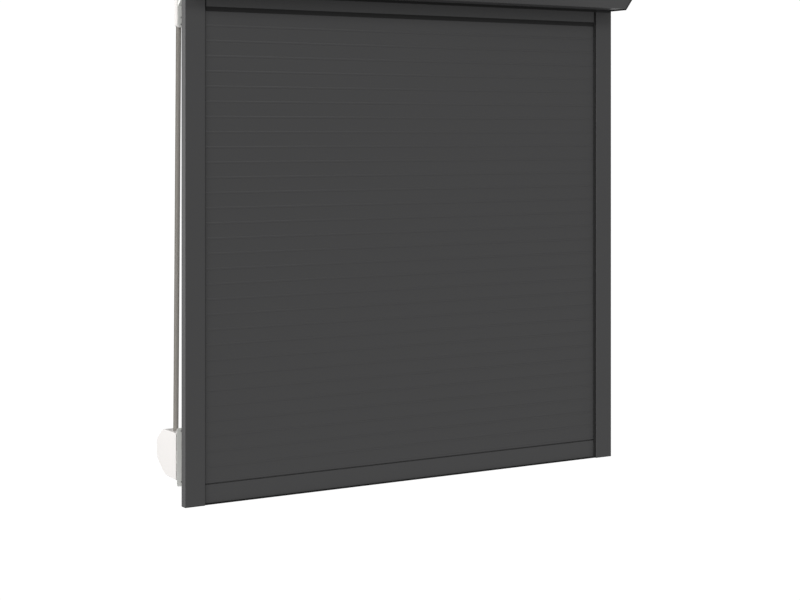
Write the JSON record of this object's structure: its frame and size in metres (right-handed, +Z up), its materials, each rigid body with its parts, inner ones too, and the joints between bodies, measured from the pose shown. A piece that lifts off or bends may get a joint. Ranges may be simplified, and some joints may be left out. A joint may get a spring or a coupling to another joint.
{
  "type": "exterior roller shutter",
  "caption": "Front-mounted roller shutter: box with chamfer, two guide rails, closed slat curtain with bottom bar, and a belt drive with belt guide and winder on the room side.",
  "frame": {"origin": "wall plane, midway between the guide rails, level with their feet", "axes": "+X to the right seen from outside, +Y into the room, +Z up"},
  "size_m": [1.3, 0.342, 1.413],
  "materials": {
    "coated_aluminium": "anthracite powder coat, satin",
    "black_rubber": "matt",
    "black_plastic": "satin",
    "grey_plastic": "satin",
    "plate_grey": "satin",
    "zinc_steel": "zinc plated",
    "white_plastic": "smooth",
    "belt_webbing": "woven, grey brown"
  },
  "bodies": {
    "frame": {"box_back_shell": "coated_aluminium", "box_front_cover": "coated_aluminium", "box_end_cap_left": "coated_aluminium", "box_end_cap_right": "coated_aluminium", "inlet_lip": "coated_aluminium", "cover_seal": "black_rubber", "guide_rail_left": "coated_aluminium", "guide_rail_right": "coated_aluminium", "rail_lip_seals": "black_rubber", "rail_inlet_funnels": "black_plastic", "rail_bottom_plugs": "black_plastic", "shaft_bearings": "zinc_steel", "belt": "belt_webbing", "belt_passage": "plate_grey", "belt_guide_cover": "white_plastic", "winder_bracket": "plate_grey", "winder_case": "white_plastic", "winder_spring": "zinc_steel"},
    "curtain_foot": {"bottom_bar": "coated_aluminium", "bottom_bar_seal": "black_rubber", "bottom_bar_end_caps": "black_plastic", "slat_01": "coated_aluminium"},
    "row_02": {"slat_02": "coated_aluminium"},
    "row_03": {"slat_03": "coated_aluminium"},
    "row_04": {"slat_04": "coated_aluminium"},
    "row_05": {"slat_05": "coated_aluminium"},
    "row_06": {"slat_06": "coated_aluminium"},
    "row_07": {"slat_07": "coated_aluminium"},
    "row_08": {"slat_08": "coated_aluminium"},
    "row_09": {"slat_09": "coated_aluminium"},
    "row_10": {"slat_10": "coated_aluminium"},
    "row_11": {"slat_11": "coated_aluminium"},
    "row_12": {"slat_12": "coated_aluminium"},
    "row_13": {"slat_13": "coated_aluminium"},
    "row_14": {"slat_14": "coated_aluminium"},
    "row_15": {"slat_15": "coated_aluminium"},
    "row_16": {"slat_16": "coated_aluminium"},
    "row_17": {"slat_17": "coated_aluminium"},
    "row_18": {"slat_18": "coated_aluminium"},
    "row_19": {"slat_19": "coated_aluminium"},
    "row_20": {"slat_20": "coated_aluminium"},
    "row_21": {"slat_21": "coated_aluminium"},
    "row_22": {"slat_22": "coated_aluminium"},
    "row_23": {"slat_23": "coated_aluminium"},
    "row_24": {"slat_24": "coated_aluminium"},
    "row_25": {"slat_25": "coated_aluminium"},
    "row_26": {"slat_26": "coated_aluminium"},
    "row_27": {"slat_27": "coated_aluminium"},
    "row_28": {"slat_28": "coated_aluminium"},
    "row_29": {"slat_29": "coated_aluminium"},
    "row_30": {"slat_30": "coated_aluminium"},
    "row_31": {"slat_31": "coated_aluminium"},
    "row_32": {"slat_32": "coated_aluminium", "suspension_strips": "zinc_steel"},
    "shaft": {"roller_shaft": "zinc_steel", "belt_pulley": "grey_plastic", "shaft_end_plug": "grey_plastic"},
    "guide_roller": {"belt_guide_roller": "grey_plastic"},
    "drum": {"winder_drum": "grey_plastic"}
  },
  "joints": [
    {"name": "curtain_lift", "type": "slide", "parent": "frame", "child": "curtain_foot", "axis": [0, 0, 1], "range_m": [0, 1.15], "deforming": ["slat_02", "slat_03", "slat_04", "slat_05", "slat_06", "slat_07", "slat_08", "slat_09", "slat_10", "slat_11", "slat_12", "slat_13", "slat_14", "slat_15", "slat_16", "slat_17", "slat_18", "slat_19", "slat_20", "slat_21", "slat_22", "slat_23", "slat_24", "slat_25", "slat_26", "slat_27", "slat_28", "slat_29", "slat_30", "slat_31", "slat_32", "suspension_strips"]},
    {"name": "slat_02_lift", "type": "slide", "parent": "frame", "child": "row_02", "axis": [0, 0, 1], "range_m": [0, 1.1141]},
    {"name": "slat_03_lift", "type": "slide", "parent": "frame", "child": "row_03", "axis": [0, 0, 1], "range_m": [0, 1.078]},
    {"name": "slat_04_lift", "type": "slide", "parent": "frame", "child": "row_04", "axis": [0, 0, 1], "range_m": [0, 1.0419]},
    {"name": "slat_05_lift", "type": "slide", "parent": "frame", "child": "row_05", "axis": [0, 0, 1], "range_m": [0, 1.0058]},
    {"name": "slat_06_lift", "type": "slide", "parent": "frame", "child": "row_06", "axis": [0, 0, 1], "range_m": [0, 0.9697]},
    {"name": "slat_07_lift", "type": "slide", "parent": "frame", "child": "row_07", "axis": [0, 0, 1], "range_m": [0, 0.9336]},
    {"name": "slat_08_lift", "type": "slide", "parent": "frame", "child": "row_08", "axis": [0, 0, 1], "range_m": [0, 0.8975]},
    {"name": "slat_09_lift", "type": "slide", "parent": "frame", "child": "row_09", "axis": [0, 0, 1], "range_m": [0, 0.8614]},
    {"name": "slat_10_lift", "type": "slide", "parent": "frame", "child": "row_10", "axis": [0, 0, 1], "range_m": [0, 0.8253]},
    {"name": "slat_11_lift", "type": "slide", "parent": "frame", "child": "row_11", "axis": [0, 0, 1], "range_m": [0, 0.7892]},
    {"name": "slat_12_lift", "type": "slide", "parent": "frame", "child": "row_12", "axis": [0, 0, 1], "range_m": [0, 0.7531]},
    {"name": "slat_13_lift", "type": "slide", "parent": "frame", "child": "row_13", "axis": [0, 0, 1], "range_m": [0, 0.717]},
    {"name": "slat_14_lift", "type": "slide", "parent": "frame", "child": "row_14", "axis": [0, 0, 1], "range_m": [0, 0.6809]},
    {"name": "slat_15_lift", "type": "slide", "parent": "frame", "child": "row_15", "axis": [0, 0, 1], "range_m": [0, 0.6448]},
    {"name": "slat_16_lift", "type": "slide", "parent": "frame", "child": "row_16", "axis": [0, 0, 1], "range_m": [0, 0.6087]},
    {"name": "slat_17_lift", "type": "slide", "parent": "frame", "child": "row_17", "axis": [0, 0, 1], "range_m": [0, 0.5726]},
    {"name": "slat_18_lift", "type": "slide", "parent": "frame", "child": "row_18", "axis": [0, 0, 1], "range_m": [0, 0.5365]},
    {"name": "slat_19_lift", "type": "slide", "parent": "frame", "child": "row_19", "axis": [0, 0, 1], "range_m": [0, 0.5004]},
    {"name": "slat_20_lift", "type": "slide", "parent": "frame", "child": "row_20", "axis": [0, 0, 1], "range_m": [0, 0.4643]},
    {"name": "slat_21_lift", "type": "slide", "parent": "frame", "child": "row_21", "axis": [0, 0, 1], "range_m": [0, 0.4282]},
    {"name": "slat_22_lift", "type": "slide", "parent": "frame", "child": "row_22", "axis": [0, 0, 1], "range_m": [0, 0.3921]},
    {"name": "slat_23_lift", "type": "slide", "parent": "frame", "child": "row_23", "axis": [0, 0, 1], "range_m": [0, 0.356]},
    {"name": "slat_24_lift", "type": "slide", "parent": "frame", "child": "row_24", "axis": [0, 0, 1], "range_m": [0, 0.3199]},
    {"name": "slat_25_lift", "type": "slide", "parent": "frame", "child": "row_25", "axis": [0, 0, 1], "range_m": [0, 0.2838]},
    {"name": "slat_26_lift", "type": "slide", "parent": "frame", "child": "row_26", "axis": [0, 0, 1], "range_m": [0, 0.2477]},
    {"name": "slat_27_lift", "type": "slide", "parent": "frame", "child": "row_27", "axis": [0, 0, 1], "range_m": [0, 0.2116]},
    {"name": "slat_28_lift", "type": "slide", "parent": "frame", "child": "row_28", "axis": [0, 0, 1], "range_m": [0, 0.1755]},
    {"name": "slat_29_lift", "type": "slide", "parent": "frame", "child": "row_29", "axis": [0, 0, 1], "range_m": [0, 0.1394]},
    {"name": "slat_30_lift", "type": "slide", "parent": "frame", "child": "row_30", "axis": [0, 0, 1], "range_m": [0, 0.1033]},
    {"name": "slat_31_lift", "type": "slide", "parent": "frame", "child": "row_31", "axis": [0, 0, 1], "range_m": [0, 0.0672]},
    {"name": "slat_32_lift", "type": "slide", "parent": "frame", "child": "row_32", "axis": [0, 0, 1], "range_m": [0, 0.0311]},
    {"name": "shaft_turn", "type": "hinge", "parent": "frame", "child": "shaft", "pos_m": [0, -0.079, 1.334], "axis": [1, 0, 0], "range_deg": [-5, 1698]},
    {"name": "guide_roller_turn", "type": "hinge", "parent": "frame", "child": "guide_roller", "pos_m": [-0.625, 0.0655, 1.203], "axis": [1, 0, 0], "range_deg": [-11206, 5]},
    {"name": "drum_turn", "type": "hinge", "parent": "frame", "child": "drum", "pos_m": [-0.625, 0.121, 0.108], "axis": [1, 0, 0], "range_deg": [-5, 2364]}
  ],
  "couplings": [
    {"joint": "slat_02_lift", "follows": "curtain_lift", "ratio": 0.96861},
    {"joint": "slat_03_lift", "follows": "curtain_lift", "ratio": 0.93722},
    {"joint": "slat_04_lift", "follows": "curtain_lift", "ratio": 0.90583},
    {"joint": "slat_05_lift", "follows": "curtain_lift", "ratio": 0.87443},
    {"joint": "slat_06_lift", "follows": "curtain_lift", "ratio": 0.84304},
    {"joint": "slat_07_lift", "follows": "curtain_lift", "ratio": 0.81165},
    {"joint": "slat_08_lift", "follows": "curtain_lift", "ratio": 0.78026},
    {"joint": "slat_09_lift", "follows": "curtain_lift", "ratio": 0.74887},
    {"joint": "slat_10_lift", "follows": "curtain_lift", "ratio": 0.71748},
    {"joint": "slat_11_lift", "follows": "curtain_lift", "ratio": 0.68609},
    {"joint": "slat_12_lift", "follows": "curtain_lift", "ratio": 0.6547},
    {"joint": "slat_13_lift", "follows": "curtain_lift", "ratio": 0.6233},
    {"joint": "slat_14_lift", "follows": "curtain_lift", "ratio": 0.59191},
    {"joint": "slat_15_lift", "follows": "curtain_lift", "ratio": 0.56052},
    {"joint": "slat_16_lift", "follows": "curtain_lift", "ratio": 0.52913},
    {"joint": "slat_17_lift", "follows": "curtain_lift", "ratio": 0.49774},
    {"joint": "slat_18_lift", "follows": "curtain_lift", "ratio": 0.46635},
    {"joint": "slat_19_lift", "follows": "curtain_lift", "ratio": 0.43496},
    {"joint": "slat_20_lift", "follows": "curtain_lift", "ratio": 0.40357},
    {"joint": "slat_21_lift", "follows": "curtain_lift", "ratio": 0.37217},
    {"joint": "slat_22_lift", "follows": "curtain_lift", "ratio": 0.34078},
    {"joint": "slat_23_lift", "follows": "curtain_lift", "ratio": 0.30939},
    {"joint": "slat_24_lift", "follows": "curtain_lift", "ratio": 0.278},
    {"joint": "slat_25_lift", "follows": "curtain_lift", "ratio": 0.24661},
    {"joint": "slat_26_lift", "follows": "curtain_lift", "ratio": 0.21522},
    {"joint": "slat_27_lift", "follows": "curtain_lift", "ratio": 0.18383},
    {"joint": "slat_28_lift", "follows": "curtain_lift", "ratio": 0.15243},
    {"joint": "slat_29_lift", "follows": "curtain_lift", "ratio": 0.12104},
    {"joint": "slat_30_lift", "follows": "curtain_lift", "ratio": 0.089652},
    {"joint": "slat_31_lift", "follows": "curtain_lift", "ratio": 0.058261},
    {"joint": "slat_32_lift", "follows": "curtain_lift", "ratio": 0.02687},
    {"joint": "shaft_turn", "follows": "curtain_lift", "rad_per_m": 25.7},
    {"joint": "guide_roller_turn", "follows": "curtain_lift", "rad_per_m": -170},
    {"joint": "drum_turn", "follows": "curtain_lift", "rad_per_m": 35.8}
  ]
}
